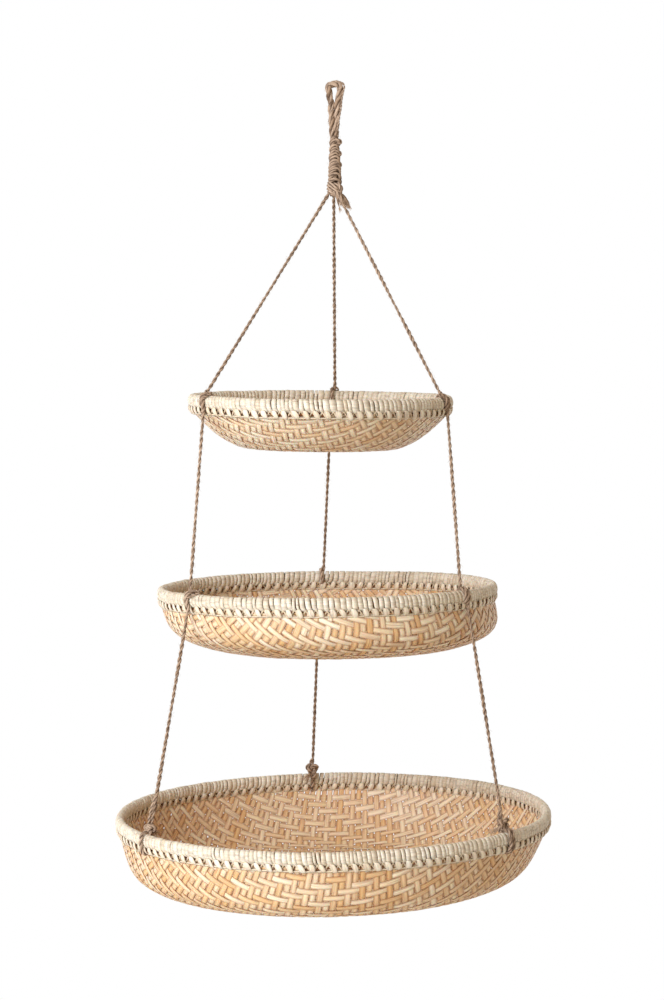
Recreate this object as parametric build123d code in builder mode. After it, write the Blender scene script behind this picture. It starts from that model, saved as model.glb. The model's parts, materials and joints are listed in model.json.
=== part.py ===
from build123d import *
from dataclasses import dataclass
from math import atan2, cos, degrees, pi, radians, sin, sqrt
import os

os.makedirs("parts", exist_ok=True)

# A hanging fruit basket: three woven bowls of growing size hung one above another by jute cords.
# The origin is where a hook bears on the top inside of the hanging eye, with Z up and the front at -Y.

# Jute cord
cord_d = 3.8
cord_sides = 8
seat_gap = 0.4
open_end_gap = 1.2

# Hanging loop: a doubled cord with an eye at its top
eye_w = 5.0
eye_straight = 2.5
eye_close = 8.0
loop_strand_d = 5.2
loop_strand_gap = 0.5
loop_h = 45.5
loop_bend_r = 12.0

# Neck: the gathered strands, wound with thinner cord down to the gather knot
neck_h = 38.5
neck_top_d = 10.0
neck_bottom_d = 12.8
whip_cord_d = 3.0
whip_turns = 10
whip_sides = 4
core_gap = 0.1
knot_r = 7.5
knot_sides = 12
knot_top_share = 0.8
knot_taper = 25.0

# Cut cord ends beneath the gather knot: length, both thicknesses, then angles round and up from straight down
tails = ((21.0, 2.6, 4.0, -65.0, 59.0), (13.0, 2.2, 3.0, -97.0, 45.0), (9.0, 2.2, 2.8, -88.0, 74.0))

# Rim of every bowl: a bent hoop wrapped in flat strips, both drawn as rings with many flat sides
ring_sides = 48
rim_thick = 8.0
rim_tall = 10.5
rim_corner = 2.4
hoop_thick = 4.0
hoop_tall = 6.4
hoop_gap = 0.15

# Bowl of every tier: a woven mat lashed on below the rim, with a gap between the two
mat_t = 1.8
lash_gap = 4.0
stitch_w = 2.6
stitch_t = 1.2
stitch_lean = 4.0
stitch_lap = 4.5
stitch_pitch = 10.0
stitch_gap = 0.1

# Cord hitches round the rim
hitch_gap = 0.3
hitch_thick = 3.0
hitch_corner = 3.0
hitch_exit_out = 4.8
hitch_clear = 1.2
lobe_radius_share = 0.85
lobe_length_share = 0.5

# Knots of the bottom tier, on the inside of the rim
rim_knot_r = 4.5
rim_knot_in = 7.0
rim_knot_up = 9.0
rim_knot_radius_share = 0.89
rim_knot_length_share = 0.71
rim_knot_chamfer_share = 0.29
rim_tail_l = 9.0
rim_tail_d = 2.6
rim_tail_end_d = 5.4
doubled_l = {"left": 32.0, "right": 15.0, "back": 12.0}
doubled_offset_share = 0.9


@dataclass
class Tier:
    """One bowl with its rim: where it hangs, how it tilts and where its cords are hitched."""

    name: str
    rim_d: float
    depth: float
    drop: float
    left: float
    right: float
    tilt: float
    roll: float
    hitch_angle: dict
    bowl_shares: tuple

    @property
    def rim_r(self):
        return self.rim_d / 2 - rim_thick / 2

    @property
    def location(self):
        return Location((self.right - self.left, 0, -self.drop), (self.tilt, self.roll, 0))

    @property
    def plane(self):
        return Plane(self.location)

    @property
    def down(self):
        return Axis(self.plane.origin, -self.plane.z_dir)


top = Tier(
    name="top",
    rim_d=243.0,
    depth=47.0,
    drop=287.0,
    left=10.4,
    right=0.0,
    tilt=0.0,
    roll=0.0,
    hitch_angle={"left": 210.3, "right": -18.1, "back": 84.6},
    bowl_shares=((1.0, 0.0), (0.95, 0.3), (0.76, 0.74), (0.6, 0.92), (0.45, 1.0)),
)
middle = Tier(
    name="middle",
    rim_d=313.0,
    depth=56.0,
    drop=461.0,
    left=2.8,
    right=0.0,
    tilt=-1.0,
    roll=-1.3,
    hitch_angle={"left": 217.6, "right": -38.2, "back": 92.1},
    bowl_shares=((1.0, 0.0), (0.975, 0.42), (0.92, 0.74), (0.83, 0.93), (0.74, 1.0)),
)
bottom = Tier(
    name="bottom",
    rim_d=402.0,
    depth=66.0,
    drop=671.7,
    left=0.0,
    right=4.5,
    tilt=0.4,
    roll=-1.4,
    hitch_angle={"left": 208.9, "right": -37.7, "back": 96.3},
    bowl_shares=((1.0, 0.0), (0.965, 0.6), (0.925, 0.85), (0.86, 0.96), (0.78, 1.0)),
)
tiers = (top, middle, bottom)
sides = ("left", "right", "back")

# Heights on the hanging axis
neck_top_z = -loop_h - seat_gap
neck_bottom_z = neck_top_z - neck_h
gather = Vector(0, 0, neck_bottom_z - knot_r * knot_top_share)


def keep(piece, name):
    """Labels a finished piece and writes it."""
    piece.part.label = name
    export_step(piece.part, f"parts/{name}.step")


def rim_section(tier, angle):
    """Plane across the rim: x points outwards, y up, and its origin is the middle of the rim."""
    turned = tier.location * Location((0, 0, 0), (0, 0, angle))
    return Plane(turned * Location((tier.rim_r, 0, 0), (90, 0, 0)))


def turn_angle(tier, side, sense):
    """Angle of one of a hitch's two turns, which lie side by side: -1 takes the cord in, 1 lets it out."""
    half_turn_width = cord_d / 2 / tier.rim_r * 180 / pi
    return tier.hitch_angle[side] + sense * half_turn_width


def landing(tier, side):
    """Where the cord from above ends: on top of its hitch, or in the middle of the knot."""
    if tier is bottom:
        return rim_section(tier, tier.hitch_angle[side]).from_local_coords((-rim_knot_in, rim_knot_up, 0))
    section = rim_section(tier, turn_angle(tier, side, -1))
    return section.from_local_coords((0, rim_tall / 2 + hitch_gap + hitch_thick, 0))


def leaving(tier, side):
    """Where the cord to the tier below starts: under the outer edge of the hitch."""
    section = rim_section(tier, turn_angle(tier, side, 1))
    return section.from_local_coords((hitch_exit_out, -rim_tall / 2 - hitch_gap - hitch_thick, 0))


def cut_rectangle(wide, tall, corner, mode=Mode.ADD):
    """A rectangle with its corners cut off, in the open sketch."""
    x, y = wide / 2, tall / 2
    quarter = ((x, y - corner), (x - corner, y))
    half = quarter + tuple((-across, up) for across, up in reversed(quarter))
    Polygon(*half, *[(-across, -up) for across, up in half], mode=mode)


def make_basin(tier, edge_r, fall):
    """A full block of the bowl's shape, from the mat's edge down, in bands that narrow downwards."""
    edge = tier.plane.offset(-rim_tall / 2 - lash_gap)
    with BuildPart() as basin:
        with BuildSketch(edge):
            RegularPolygon(radius=edge_r, side_count=ring_sides)
        lower_face = basin.pending_faces[0]
        for (across, down), (next_across, next_down) in zip(tier.bowl_shares, tier.bowl_shares[1:]):
            drawn_in = edge_r * (across - next_across) * cos(pi / ring_sides)
            height = fall * (next_down - down)
            extrude(lower_face, amount=height, dir=tier.down.direction)
            walls = basin.faces().filter_by(tier.down, reverse=True).group_by(tier.down)[-1]
            draft(walls, neutral_plane=edge.offset(-fall * down), angle=degrees(atan2(-drawn_in, height)))
            lower_face = basin.faces().sort_by(tier.down)[-1]
    return basin


def make_bowl(tier):
    edge_r = tier.rim_r + mat_t / 2
    fall = tier.depth - rim_tall / 2 - lash_gap
    outside = make_basin(tier, edge_r, fall)
    inside = make_basin(tier, edge_r - mat_t, fall - mat_t)
    with BuildPart() as bowl:
        add(outside.part)
        add(inside.part, mode=Mode.SUBTRACT)
    return bowl


def make_ring(tier, thick, tall):
    """A square-edged ring, centred on the rim's middle line."""
    with BuildPart() as ring:
        with BuildSketch(tier.plane):
            RegularPolygon(radius=tier.rim_r + thick / 2, side_count=ring_sides)
            RegularPolygon(radius=tier.rim_r - thick / 2, side_count=ring_sides, mode=Mode.SUBTRACT)
        extrude(amount=tall / 2, both=True)
    return ring


def make_binding(tier):
    """The wrapped strips as one hollow ring with cut corners, round the hoop."""
    ring = make_ring(tier, rim_thick, rim_tall)
    bore = make_ring(tier, hoop_thick + 2 * hoop_gap, hoop_tall + 2 * hoop_gap)
    with BuildPart() as binding:
        add(ring.part)
        flat_faces = binding.faces().filter_by(tier.down)
        chamfer(flat_faces.edges(), length=rim_corner)
        add(bore.part, mode=Mode.SUBTRACT)
    return binding


def stitch_angles(tier):
    """Angles of the stitches that no hitch stands in the way of, as (angle, lean) pairs."""
    pairs = round(2 * pi * tier.rim_r / stitch_pitch / 2)
    step = 360 / (2 * pairs)
    reach = cord_d + hitch_clear + (stitch_w + stitch_lean) / 2
    kept = []
    for number in range(2 * pairs):
        angle = number * step
        lean = 1 if number % 2 == 0 else -1
        from_hitches = [abs((angle - hitch + 180) % 360 - 180) for hitch in tier.hitch_angle.values()]
        if radians(min(from_hitches)) * tier.rim_r > reach:
            kept.append((angle, lean))
    return kept


def make_stitch(tier, lean):
    """One slanted strip at the rim's angle 0, from the rim's underside to below the mat's edge."""
    top_y = -rim_tall / 2
    bottom_y = top_y - lash_gap - stitch_lap
    shift = lean * stitch_lean / 2
    back = Plane(origin=(tier.rim_r + mat_t / 2 + stitch_gap, 0, 0), x_dir=(0, 1, 0), z_dir=(1, 0, 0))
    with BuildPart() as stitch:
        with BuildSketch(back):
            with BuildLine():
                Polyline(
                    (shift - stitch_w / 2, top_y),
                    (shift + stitch_w / 2, top_y),
                    (-shift + stitch_w / 2, bottom_y),
                    (-shift - stitch_w / 2, bottom_y),
                    close=True,
                )
            make_face()
        extrude(amount=stitch_t)
    return stitch


def make_stitches(tier):
    """The strips that lash the bowl to the rim, leaning to and fro like a row of crosses."""
    kinds = {lean: make_stitch(tier, lean) for lean in (1, -1)}
    with BuildPart() as stitches:
        for lean, stitch in kinds.items():
            angles = [angle for angle, leaning in stitch_angles(tier) if leaning == lean]
            with Locations(*[tier.location * Location((0, 0, 0), (0, 0, angle)) for angle in angles]):
                add(stitch.part)
    return stitches


def make_turn(section):
    """One turn of cord round the rim."""
    with BuildPart() as turn:
        with BuildSketch(section):
            reach = 2 * (hitch_gap + hitch_thick)
            cut_rectangle(rim_thick + reach, rim_tall + reach, hitch_corner)
            cut_rectangle(rim_thick + 2 * hitch_gap, rim_tall + 2 * hitch_gap, rim_corner, mode=Mode.SUBTRACT)
        extrude(amount=cord_d / 2, both=True)
    return turn


def make_lobe(place):
    """The small bight of cord that a hanging cord pivots on."""
    with BuildPart() as lobe:
        with BuildSketch(Plane(origin=place, x_dir=(1, 0, 0), z_dir=(0, 1, 0))):
            RegularPolygon(radius=cord_d / 2 * lobe_radius_share, side_count=cord_sides)
        extrude(amount=cord_d / 2 * lobe_length_share, both=True)
    return lobe


def make_hitch(tier, side):
    turns = [make_turn(rim_section(tier, turn_angle(tier, side, sense))) for sense in (-1, 1)]
    lobes = [make_lobe(place) for place in (landing(tier, side), leaving(tier, side))]
    with BuildPart() as hitch:
        for piece in turns + lobes:
            add(piece.part)
    return hitch


def make_knot_bulk(section):
    """The round of a rim knot, above the rim and inside it."""
    with BuildPart() as bulk:
        with BuildSketch(section):
            with Locations((-rim_knot_in, rim_knot_up)):
                RegularPolygon(radius=rim_knot_r * rim_knot_radius_share, side_count=cord_sides)
        extrude(amount=rim_knot_r * rim_knot_length_share, both=True)
        ends = bulk.faces().filter_by(Axis(section.origin, section.z_dir))
        chamfer(ends.edges(), length=rim_knot_r * rim_knot_chamfer_share)
    return bulk


def make_rim_knot(tier, side):
    section = rim_section(tier, tier.hitch_angle[side])
    turn = make_turn(section)
    bulk = make_knot_bulk(section)
    with BuildPart() as knot:
        add(turn.part)
        add(bulk.part)
    return knot


def make_tail(start, along, length, start_d, end_d):
    """A cut cord end whose fibres open, drawn from its wide end back to its start."""
    with BuildPart() as tail:
        with BuildSketch(Plane(origin=start + along * length, z_dir=-along)):
            RegularPolygon(radius=end_d / 2, side_count=cord_sides)
        drawn_in = (end_d - start_d) / 2 * cos(pi / cord_sides)
        extrude(amount=length, taper=degrees(atan2(drawn_in, length)))
    return tail


def make_rim_tail(tier, side):
    section = rim_section(tier, tier.hitch_angle[side])
    across = section.z_dir if side == "right" else -section.z_dir
    along = (across * 2 - section.x_dir * 2 - section.y_dir).normalized()
    start = landing(tier, side) + along * (rim_knot_r + seat_gap)
    return make_tail(start, along, rim_tail_l, rim_tail_d, rim_tail_end_d)


def make_cord(start, finish, start_gap, finish_gap, doubled=0.0):
    """A tight cord between two points, clear of what is at its ends, and doubled over its last stretch."""
    run = finish - start
    along = run.normalized()
    first = start + along * start_gap
    length = run.length - start_gap - finish_gap
    with BuildPart() as cord:
        with BuildSketch(Plane(origin=first, z_dir=along)):
            RegularPolygon(radius=cord_d / 2, side_count=cord_sides)
        extrude(amount=length)
        if doubled:
            with BuildSketch(Plane(origin=first + along * (length - doubled), z_dir=along)):
                with Locations((cord_d * doubled_offset_share, 0)):
                    RegularPolygon(radius=cord_d / 2, side_count=cord_sides)
            extrude(amount=doubled)
    return cord


def helix_point(turn):
    """Point and direction of the whipping's centre line, a widening helix, after so many turns."""
    share = turn / whip_turns
    top_r = (neck_top_d - whip_cord_d) / 2
    bottom_r = (neck_bottom_d - whip_cord_d) / 2
    fall = neck_h - whip_cord_d
    angle = 2 * pi * turn
    radius = top_r + (bottom_r - top_r) * share
    growth = (bottom_r - top_r) / (2 * pi * whip_turns)
    point = Vector(radius * cos(angle), radius * sin(angle), neck_top_z - whip_cord_d / 2 - fall * share)
    direction = Vector(
        growth * cos(angle) - radius * sin(angle),
        growth * sin(angle) + radius * cos(angle),
        -fall / (2 * pi * whip_turns),
    )
    return point, direction.normalized()


def biarc(first, last):
    """Two arcs that leave one point and reach the next along their given directions."""
    (start, leave), (finish, arrive) = first, last
    chord = finish - start
    total = leave + arrive
    bend = 2 * (1 - leave.dot(arrive))
    reach = (sqrt(chord.dot(total) ** 2 + bend * chord.dot(chord)) - chord.dot(total)) / bend
    joint = (start + finish + (leave - arrive) * reach) / 2
    opening = TangentArc(start, joint, tangent=leave)
    TangentArc(joint, finish, tangent=opening % 1)


def least_winding_gap():
    """Least distance between the whipping's turns, measured on points of its centre line."""
    steps = 48
    points = [helix_point(number / steps)[0] for number in range(whip_turns * steps + 1)]
    far = [(a, b) for a in range(len(points)) for b in range(a + steps // 2, min(a + 2 * steps, len(points)))]
    return min((points[a] - points[b]).length for a, b in far) - whip_cord_d


# Hanging loop
with BuildPart() as hanging_loop:
    eye_r = eye_w / 2 + loop_strand_d / 2
    strand_x = (loop_strand_d + loop_strand_gap) / 2
    crown_z = -eye_w / 2
    close_z = crown_z - eye_straight
    with BuildLine(Plane.XZ) as loop_path:
        left_leg = FilletPolyline(
            (-strand_x, -loop_h),
            (-strand_x, close_z - eye_close),
            (-eye_r, close_z),
            (-eye_r, crown_z),
            radius=loop_bend_r,
        )
        ThreePointArc((-eye_r, crown_z), (0, crown_z + eye_r), (eye_r, crown_z))
        mirror(left_leg, about=Plane.YZ)
    with BuildSketch(Plane(origin=(-strand_x, 0, -loop_h), z_dir=(0, 0, 1))):
        RegularPolygon(radius=loop_strand_d / 2, side_count=cord_sides)
    sweep(path=loop_path.wires()[0])
keep(hanging_loop, "hanging_loop")

# Neck core: the gathered cords, as one bar that widens downwards
core_top_d, core_bottom_d = [neck_d - 2 * (whip_cord_d + core_gap) for neck_d in (neck_top_d, neck_bottom_d)]
neck_core = make_tail(Vector(0, 0, neck_top_z), Vector(0, 0, -1), neck_h, core_top_d, core_bottom_d)
keep(neck_core, "neck_core")

# Whipping: one unbroken cord, with a straight end of one diameter above and below
with BuildPart() as neck_whipping:
    halves = 2 * whip_turns
    stations = [helix_point(number / 2) for number in range(halves + 1)]
    with BuildLine() as whip_path:
        top_end = stations[0][0] - stations[0][1] * whip_cord_d
        Line(top_end, stations[0][0])
        for number in range(halves):
            biarc(stations[number], stations[number + 1])
        Line(stations[-1][0], stations[-1][0] + stations[-1][1] * whip_cord_d)
    with BuildSketch(Plane(origin=top_end, x_dir=(0, 0, 1), z_dir=stations[0][1])):
        RegularPolygon(radius=whip_cord_d / 2, side_count=whip_sides)
    sweep(path=whip_path.wires()[0])
keep(neck_whipping, "neck_whipping")
print("least gap between the whipping's turns, mm:", round(least_winding_gap(), 2))

# Gather knot: a ball of cord, many sided, flat where the neck comes in
with BuildPart() as gather_knot:
    for up in (True, False):
        with BuildSketch(Plane(origin=gather, z_dir=(0, 0, 1 if up else -1))):
            RegularPolygon(radius=knot_r, side_count=knot_sides)
        extrude(amount=knot_r * knot_top_share, taper=knot_taper)
keep(gather_knot, "gather_knot")

# Cut cord ends
with BuildPart() as cord_tails:
    for tail_l, root_d, tip_d, round_angle, up_angle in tails:
        reach = Vector(0, 0, -1).rotate(Axis.Y, -up_angle).rotate(Axis.Z, round_angle)
        add(make_tail(gather + reach * (knot_r + seat_gap), reach, tail_l, root_d, tip_d).part)
keep(cord_tails, "cord_tails")

# Bowls, rims and stitches
for tier in tiers:
    keep(make_bowl(tier), f"{tier.name}_bowl")
    keep(make_ring(tier, hoop_thick, hoop_tall), f"{tier.name}_rim_hoop")
    keep(make_binding(tier), f"{tier.name}_rim_binding")
    keep(make_stitches(tier), f"{tier.name}_rim_stitches")

# Hitches, knots and cords
for side in sides:
    keep(make_hitch(top, side), f"top_{side}_hitch")
    keep(make_hitch(middle, side), f"middle_{side}_hitch")
    keep(make_rim_knot(bottom, side), f"bottom_{side}_knot")
    keep(make_rim_tail(bottom, side), f"bottom_{side}_knot_tail")
    lobe_end = cord_d / 2 + seat_gap
    keep(make_cord(gather, landing(top, side), knot_r + seat_gap, lobe_end), f"upper_{side}_cord")
    slack = seat_gap if side == "left" else open_end_gap
    middle_cord = make_cord(leaving(top, side), landing(middle, side), lobe_end, cord_d / 2 + slack)
    keep(middle_cord, f"middle_{side}_cord")
    lower_end = rim_knot_r + slack
    lower_cord = make_cord(leaving(middle, side), landing(bottom, side), lobe_end, lower_end, doubled_l[side])
    keep(lower_cord, f"lower_{side}_cord")
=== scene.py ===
import json
import math
import random

import bmesh
import bpy
import numpy as np
from mathutils import Matrix, Vector, noise


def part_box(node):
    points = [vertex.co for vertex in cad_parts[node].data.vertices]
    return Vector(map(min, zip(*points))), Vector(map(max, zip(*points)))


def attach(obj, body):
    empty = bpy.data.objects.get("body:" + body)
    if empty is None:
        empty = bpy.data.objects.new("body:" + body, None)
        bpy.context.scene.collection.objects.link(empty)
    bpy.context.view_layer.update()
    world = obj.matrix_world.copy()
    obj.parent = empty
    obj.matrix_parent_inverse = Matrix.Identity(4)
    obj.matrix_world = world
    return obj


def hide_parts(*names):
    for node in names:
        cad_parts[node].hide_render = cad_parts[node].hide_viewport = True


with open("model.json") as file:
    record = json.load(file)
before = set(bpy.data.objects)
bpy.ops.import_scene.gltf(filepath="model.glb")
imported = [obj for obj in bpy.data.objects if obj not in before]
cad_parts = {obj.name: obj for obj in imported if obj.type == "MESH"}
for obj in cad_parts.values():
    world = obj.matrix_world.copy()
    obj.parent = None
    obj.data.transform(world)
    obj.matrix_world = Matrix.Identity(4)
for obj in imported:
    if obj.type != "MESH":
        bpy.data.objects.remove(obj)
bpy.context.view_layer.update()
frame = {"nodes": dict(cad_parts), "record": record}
rng = random.Random(11)
mm = 0.001

# Camera, as the photograph was taken: place, lens on a frame this high, and how it is tipped, in degrees
camera_place = Vector((0.84, -2723.5, -197.0)) * mm
camera_frame = 36.0
camera_lens = 106.9
camera_down = 3.8
camera_roll = 0.47

# Jute cord: thickness, and how far along it one twist goes
cord_d = 3.8 * mm
cord_lay = 12.5 * mm
loop_strand_d = 6.8 * mm
loop_lay = 30.0 * mm
wrap_cord_d = 3.7 * mm
wrap_lay = 24.0 * mm
tail_lay = 22.0 * mm

# Spacing of the points along a taut cord, a hitch, and a fine bend
cord_step = 1.0 * mm
hitch_step = 0.9 * mm
fine_step = 0.8 * mm

# Sides of a ply, a thin strand's ply, a flat strip, a wrap, a lath, a tuft's fibre and a hair
ply_sides = 7
thin_sides = 6
strip_sides = 6
wrap_sides = 16
lath_sides = 4
fibre_sides = 4
hair_sides = 3

# How far loose fibres stand off a cord, and how many are on each metre of it
fuzz_reach = 2.6 * mm
long_fuzz_reach = 5.5 * mm
fuzz_on_cord = 1400
fuzz_on_hitch = 1500
fuzz_on_knot = 1800
long_fuzz_on_knot = 900
fuzz_on_loop = 2200
fuzz_on_neck = 500
fuzz_on_ends = 1200

# Rims: thickness, height, how far the wrapping reaches under the hoop, and how uneven the rim runs
rim_thick = 8.0 * mm
rim_tall = 10.5 * mm
rim_skirt = 1.6 * mm
rim_waver = 0.9 * mm

# Mats: a strip's thickness, how far it rises and dips, strays from its row and wanders along it, how far
# under the rim the bowl and the mat's edge start, and the mat's thickness
strip_t = 0.6 * mm
strip_lift = 0.6 * mm
strip_stray = 0.3
strip_wander = 0.5 * mm
lash_gap = 4.0 * mm
edge_gap = 2.6 * mm
mat_t = 1.8 * mm

# Lashing between rim and mat: pitch, a strip's width, thickness, length and reach under the rim, its laths,
# and the folded edge of the mat that shows between its strips
lash_pitch = 9.4 * mm
lash_w = 5.6 * mm
lash_t = 1.0 * mm
lash_long = 14.0 * mm
lash_lap = 4.6 * mm
lath_down = 4.6 * mm
lath_out = 0.15 * mm
lath_r = 0.9 * mm
fold_r = 1.5 * mm
fold_t = 0.45 * mm
fold_wander = 1.4 * mm

# Knots on the bottom rim: how far inside the rim and above it each sits, and how big they are
knot_in = {"left": 4.0 * mm, "right": 3.5 * mm, "back": 6.0 * mm}
knot_up = {"left": 9.0 * mm, "right": 11.5 * mm, "back": 9.5 * mm}
knot_r = 5.6 * mm


def linear(red, green, blue):
    """A colour as a screen shows it, 0 to 255, as the renderer counts it."""
    shares = [c / 255 for c in (red, green, blue)]
    return tuple(c / 12.92 if c < 0.0404 else ((c + 0.055) / 1.055) ** 2.4 for c in shares)


# Shader helpers

def put(tree, kind, inputs=None, **settings):
    """Adds a node; each input is a value or the socket that feeds it."""
    node = tree.nodes.new(kind)
    for name, value in settings.items():
        setattr(node, name, value)
    for name, value in (inputs or {}).items():
        if isinstance(value, bpy.types.NodeSocket):
            tree.links.new(value, node.inputs[name])
        else:
            node.inputs[name].default_value = value
    return node


def new_group(name, inputs, outputs):
    """A shader group with its named values in, and its masks out."""
    group = bpy.data.node_groups.new(name, "ShaderNodeTree")
    for socket, value in inputs.items():
        made = group.interface.new_socket(socket, in_out="INPUT", socket_type="NodeSocketFloat")
        made.default_value = value
    for socket in outputs:
        group.interface.new_socket(socket, in_out="OUTPUT", socket_type="NodeSocketFloat")
    return group, put(group, "NodeGroupInput"), put(group, "NodeGroupOutput")


def make_fibre_group():
    """Streaks that run along a strip or a strand, from its own map, and its own tint."""
    group, given, result = new_group(
        "fibre streaks", {"Across": 6.0, "Along": 60.0, "Fineness": 3.7},
        ("Streak", "Fibre", "Tint", "Edge shade", "Inward"))
    where = put(group, "ShaderNodeUVMap", uv_map="grain")
    tint = put(group, "ShaderNodeAttribute", attribute_name="tint").outputs["Fac"]
    spread = put(group, "ShaderNodeCombineXYZ", {"X": given.outputs["Across"], "Y": given.outputs["Along"]})
    stretched = put(group, "ShaderNodeVectorMath", {
        0: where.outputs["UV"], 1: spread.outputs[0]}, operation="MULTIPLY")
    step = put(group, "ShaderNodeMath", {0: tint, 1: 37.0}, operation="MULTIPLY").outputs[0]
    shift = put(group, "ShaderNodeCombineXYZ", {"X": step, "Y": step, "Z": step})
    place = put(group, "ShaderNodeVectorMath", {
        0: stretched.outputs[0], 1: shift.outputs[0]}, operation="ADD")
    broad = put(group, "ShaderNodeTexNoise", {"Vector": place.outputs[0], "Scale": 1.0, "Detail": 3.0})
    fine = put(group, "ShaderNodeTexNoise", {
        "Vector": place.outputs[0], "Scale": given.outputs["Fineness"], "Detail": 4.0})
    group.links.new(broad.outputs["Fac"], result.inputs["Streak"])
    group.links.new(fine.outputs["Fac"], result.inputs["Fibre"])
    group.links.new(tint, result.inputs["Tint"])
    # Masks of a strip's two sides and of a ply's inner side, for painted shade where strips and plies meet
    around = put(group, "ShaderNodeSeparateXYZ", {0: where.outputs["UV"]}).outputs["X"]
    turned = put(group, "ShaderNodeMath", {0: around, 1: 2 * math.pi}, operation="MULTIPLY").outputs[0]
    sideways = put(group, "ShaderNodeMath", {0: turned}, operation="COSINE").outputs[0]
    edge = put(group, "ShaderNodeMath", {0: sideways}, operation="ABSOLUTE").outputs[0]
    group.links.new(edge, result.inputs["Edge shade"])
    inward = put(group, "ShaderNodeMath", {0: sideways, 1: -1.0}, operation="MULTIPLY").outputs[0]
    group.links.new(inward, result.inputs["Inward"])
    return group


def make_ageing_group():
    """Broad uneven patches over the whole object, as sun and handling leave them."""
    group, given, result = new_group("ageing", {"Scale": 14.0}, ("Patch",))
    where = put(group, "ShaderNodeTexCoord")
    cloud = put(group, "ShaderNodeTexNoise", {
        "Vector": where.outputs["Object"], "Scale": given.outputs["Scale"], "Detail": 2.0, "Roughness": 0.6})
    group.links.new(cloud.outputs["Fac"], result.inputs["Patch"])
    return group


fibres = make_fibre_group()
ageing = make_ageing_group()


def stretch(tree, value, low, high, to_low, to_high):
    """Spreads a value that runs from low to high over another range."""
    made = put(tree, "ShaderNodeMapRange", {
        "Value": value, "From Min": low, "From Max": high, "To Min": to_low, "To Max": to_high})
    return made.outputs["Result"]


def blend(tree, share, first, second, way="MIX"):
    """Mixes two colours, each a value or a socket."""
    mix = put(tree, "ShaderNodeMix", data_type="RGBA", blend_type=way)
    for socket, value in zip((mix.inputs["Factor"], mix.inputs[6], mix.inputs[7]), (share, first, second)):
        if isinstance(value, bpy.types.NodeSocket):
            tree.links.new(value, socket)
        else:
            socket.default_value = value if isinstance(value, float) else (*value, 1.0)
    return mix.outputs[2]


# Where each mask of the fibre begins and ends, and how far the fibres darken, lighten and stand up
patch_range = (0.45, 0.7)
# Painted shade on a strip's sides: where it begins and ends across the strip
edge_shade_range = (0.42, 1.0)
streak_span = 0.26
# Painted shade on a ply's inner side, where it presses on the next ply: where it begins and ends
crease_shade_range = (-0.3, 0.6)
fibre_range = (0.3, 0.7)
fibre_light = (0.84, 1.13)
fibre_relief = 0.3 * mm


def make_plant_material(name, pale, warm, dark, across, along, fineness, bump, rough, streak=0.55, patch=0.35,
                        edge=0.0, onset=0.52, crease_shade=0.0):
    """Dried plant fibre: a tint for each strip, warm patches, streaks along the strip and a fibrous surface.

    pale, warm and dark are screen colours. across, along and fineness are the streaks' scales. streak, patch,
    edge and crease say how strongly each one colours, and onset where in the noise the streaks start. edge
    darkens a strip's two sides and crease a ply's inner side, both painted shade where strips and plies meet.
    """
    made = bpy.data.materials.new(name)
    made.use_nodes = True
    tree = made.node_tree
    shader = tree.nodes["Principled BSDF"]
    pale, warm, dark = linear(*pale), linear(*warm), linear(*dark)
    grain = put(tree, "ShaderNodeGroup", {"Across": across, "Along": along, "Fineness": fineness},
                node_tree=fibres)
    cloud = put(tree, "ShaderNodeGroup", node_tree=ageing)
    colour = blend(tree, grain.outputs["Tint"], pale, warm)
    colour = blend(tree, stretch(tree, cloud.outputs["Patch"], *patch_range, 0.0, patch), colour, warm)
    # Painted shade: the strip's sides darken towards the dark colour
    colour = blend(tree, stretch(tree, grain.outputs["Edge shade"], *edge_shade_range, 0.0, edge), colour, dark)
    streaks = stretch(tree, grain.outputs["Streak"], onset, onset + streak_span, 0.0, streak)
    colour = blend(tree, streaks, colour, dark)
    # Painted shade: a ply's inner side darkens towards the dark colour
    if crease_shade:
        colour = blend(tree, stretch(tree, grain.outputs["Inward"], *crease_shade_range, 0.0, crease_shade), colour, dark)
    light = stretch(tree, grain.outputs["Fibre"], *fibre_range, *fibre_light)
    grey = put(tree, "ShaderNodeCombineColor", {"Red": light, "Green": light, "Blue": light})
    colour = blend(tree, 1.0, colour, grey.outputs[0], way="MULTIPLY")
    tree.links.new(colour, shader.inputs["Base Color"])
    relief = put(tree, "ShaderNodeBump", {
        "Height": grain.outputs["Fibre"], "Strength": bump, "Distance": fibre_relief})
    tree.links.new(relief.outputs["Normal"], shader.inputs["Normal"])
    roughness = stretch(tree, grain.outputs["Fibre"], *fibre_range, rough - 0.08, rough + 0.1)
    tree.links.new(roughness, shader.inputs["Roughness"])
    return made


# edge here darkens the strips' sides as painted shade between neighbouring strips
mat_strip = make_plant_material(
    "split strip", pale=(251, 239, 218), warm=(226, 184, 133), dark=(146, 86, 38), across=13.0, along=26.0,
    fineness=3.0, bump=0.35, rough=0.4, edge=0.75, onset=0.5)
mat_wrap = make_plant_material(
    "rim wrapping", pale=(230, 223, 211), warm=(211, 196, 175), dark=(126, 96, 66), across=12.0, along=30.0,
    fineness=3.0, bump=0.3, rough=0.45, streak=0.5, onset=0.5)
# edge here darkens the lashing strips' sides as painted shade
mat_lash = make_plant_material(
    "lashing strip", pale=(244, 236, 222), warm=(222, 200, 170), dark=(110, 70, 36), across=9.0, along=40.0,
    fineness=3.0, bump=0.3, rough=0.45, streak=0.5, edge=0.4)
mat_hoop = make_plant_material(
    "hoop cane", pale=(150, 118, 78), warm=(120, 84, 50), dark=(80, 52, 30), across=6.0, along=30.0,
    fineness=4.0, bump=0.3, rough=0.6)
# The mat's edge between the lashings is coloured dark brown as painted shade, to fill the gaps under the rim
# with shade
mat_fold_painted_shade = make_plant_material(
    "folded mat edge", pale=(176, 112, 62), warm=(128, 74, 38), dark=(66, 36, 16), across=3.0, along=300.0,
    fineness=3.0, bump=0.5, rough=0.7, streak=0.8)
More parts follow.
